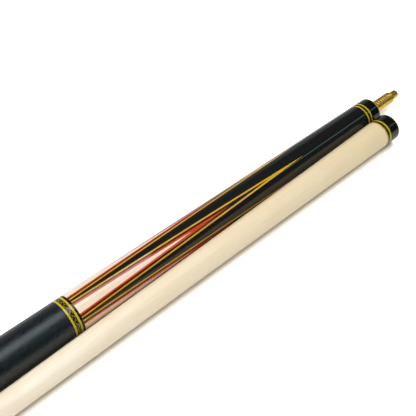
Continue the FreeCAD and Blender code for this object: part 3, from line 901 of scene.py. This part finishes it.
def tip_end():
    """The ferrule, the fibre pad and the crowned leather tip."""
    for node, finish in (("ferrule", FERRULE), ("tip_pad", FIBRE)):
        start, end = shaft.span(node)
        radius = shaft.radii(node, start)[1]
        corners = [(start, 0), (start, radius, FLUSH_BEVEL), (end, radius, FLUSH_BEVEL), (end, 0)]
        lathe(node + "_turned", shaft, corners, finish, (node,))
    start, end = shaft.span("cue_tip")
    radius = shaft.radii("cue_tip", start)[1]
    barrel = shaft.points("cue_tip")
    barrel = barrel[np.hypot(barrel[:, 1], barrel[:, 2]) > radius - 0.02 * MM][:, 0].max()
    crown = end - barrel
    dome = (radius ** 2 + crown ** 2) / (2 * crown)
    corners = [(start, 0), (start, radius, TIP_BEVEL)]
    widest = math.asin(radius / dome)
    for angle in np.linspace(widest, 0, CROWN_STEPS + 1):
        corners.append((end - dome * (1 - math.cos(angle)), dome * math.sin(angle)))
    lathe("cue_tip_crowned", shaft, corners, TIP_LEATHER, ("cue_tip",))


def dress_hidden_nodes():
    """The nodes inside the handle keep their solids, and get their materials."""
    for node, finish in (("handle_core", CORE_MAPLE), ("handle_stud", STEEL), ("weight_bolt", STEEL)):
        slots = frame["nodes"][node].data.materials
        slots.clear()
        slots.append(finish.material)


# ---------------------------------------------------------------- table, light and camera

def table():
    """A pale table; slightly uneven, so that its white isn't one flat value. It glows, and near the pieces
    ambient occlusion darkens the glow and turns the colour brown: a painted contact shadow.
    """
    mesh = bpy.data.meshes.new("table")
    reach = TABLE_SIZE / 2
    mesh.from_pydata([(-reach, -reach, 0), (reach, -reach, 0), (reach, reach, 0), (-reach, reach, 0)],
                     [], [(0, 1, 2, 3)])
    white = bpy.data.materials.new("table_white")
    white.use_nodes = True
    tree = white.node_tree
    nodes, links = tree.nodes, tree.links
    shader = nodes["Principled BSDF"]
    shader.inputs["Roughness"].default_value = TABLE_ROUGHNESS
    shader.inputs["Specular IOR Level"].default_value = TABLE_SPECULAR
    shader.inputs["Emission Color"].default_value = (1, 1, 1, 1)
    open_sky = nodes.new("ShaderNodeAmbientOcclusion")
    open_sky.inputs["Distance"].default_value = GLOW_REACH
    ray = nodes.new("ShaderNodeLightPath")
    bounced = shader_math(tree, "MULTIPLY", ray.outputs["Is Diffuse Ray"], TABLE_GLOW)
    strength = shader_math(tree, "MULTIPLY_ADD", ray.outputs["Is Camera Ray"], TABLE_WHITE, bounced)
    shade = shader_math(tree, "POWER", open_sky.outputs["AO"], SHADE_POWER)
    links.new(shader_math(tree, "MULTIPLY", shade, strength), shader.inputs["Emission Strength"])
    noise = nodes.new("ShaderNodeTexNoise")
    noise.inputs["Scale"].default_value = TABLE_NOISE
    uneven = nodes.new("ShaderNodeValToRGB")
    for stop, grey in zip(uneven.color_ramp.elements, TABLE_WHITES):
        stop.color = (grey, grey, grey, 1)
    links.new(noise.outputs["Fac"], uneven.inputs["Fac"])
    # Painted contact shadow: where ambient occlusion is low, the colour turns to the painted brown shade.
    shade_tint = nodes.new("ShaderNodeMix")
    shade_tint.data_type = "RGBA"
    first, second = (s for s in shade_tint.inputs if s.type == "RGBA")
    first.default_value = PAINTED_CONTACT_SHADE
    links.new(uneven.outputs["Color"], second)
    links.new(open_sky.outputs["AO"], shade_tint.inputs["Factor"])
    links.new(next(s for s in shade_tint.outputs if s.type == "RGBA"), shader.inputs["Base Color"])
    mesh.materials.append(white)
    surface = bpy.data.objects.new("table", mesh)
    bpy.context.scene.collection.objects.link(surface)


def softbox(name, place, target, size, power, mirrored=True, colour=(1, 1, 1)):
    """An area light at a place, turned to a target; mirrored says whether glossy pieces show it."""
    data = bpy.data.lights.new(name, "AREA")
    data.shape = "RECTANGLE"
    data.size, data.size_y = size
    data.energy = power
    data.color = colour
    light = bpy.data.objects.new(name, data)
    bpy.context.scene.collection.objects.link(light)
    light.location = joint_face + Vector(place)
    light.rotation_mode = "QUATERNION"
    light.rotation_quaternion = (Vector(target) - Vector(place)).to_track_quat("-Z", "Y")
    light.visible_glossy = mirrored


def surroundings():
    """A white wall behind the table, under a dark ceiling; the camera itself sees white all round."""
    world = bpy.data.worlds.new("studio")
    bpy.context.scene.world = world
    world.use_nodes = True
    tree = world.node_tree
    tree.nodes["Background"].inputs["Color"].default_value = (1, 1, 1, 1)
    coordinates = tree.nodes.new("ShaderNodeTexCoord")
    height = tree.nodes.new("ShaderNodeVectorMath")
    height.operation = "DOT_PRODUCT"
    height.inputs[1].default_value = WALL_LEAN
    tree.links.new(coordinates.outputs["Generated"], height.inputs[0])
    wall = tree.nodes.new("ShaderNodeMapRange")
    wall.interpolation_type = "SMOOTHSTEP"
    for socket, value in zip(("From Min", "From Max", "To Min", "To Max"), WALL_FADE):
        wall.inputs[socket].default_value = value
    tree.links.new(height.outputs["Value"], wall.inputs["Value"])
    ray = tree.nodes.new("ShaderNodeLightPath")
    shown = shader_math(tree, "MAXIMUM", wall.outputs["Result"], ray.outputs["Is Camera Ray"])
    tree.links.new(shown, tree.nodes["Background"].inputs["Strength"])


def camera():
    data = bpy.data.cameras.new("camera")
    data.lens = CAMERA_LENS
    data.sensor_width = CAMERA_SENSOR
    data.clip_start = 0.01
    seen = bpy.data.objects.new("camera", data)
    bpy.context.scene.collection.objects.link(seen)
    back = -CAMERA_AIM.normalized()
    level = UP.cross(back).normalized()
    right = Matrix.Rotation(CAMERA_ROLL, 3, back) @ level
    turned = Matrix((right, back.cross(right), back)).transposed().to_4x4()
    turned.translation = joint_face + CAMERA_PLACE
    seen.matrix_world = turned
    bpy.context.scene.camera = seen


camera()
table()
surroundings()
softbox("overhead", (-0.62, -0.10, 1.30), (-0.62, -0.10, 0.0), (1.96, 0.8), 14.0)
softbox("sky", (-0.20, 0.10, 1.60), (-0.20, 0.10, 0.0), (1.6, 1.6), 16.0, mirrored=False)
softbox("strip", (0.50, -0.67, 0.76), (0.30, 0.0, 0.0), (1.2, 0.07), 0.7, colour=(0.5, 1.0, 0.85))
bpy.context.scene.view_settings.view_transform = "Standard"

joint_end(butt, "butt")
joint_end(shaft, "shaft")
forearm()
joint_pin()
wrap_ends()
wrap()
butt_end()
shaft_insert()
shaft_wood()
tip_end()
dress_hidden_nodes()
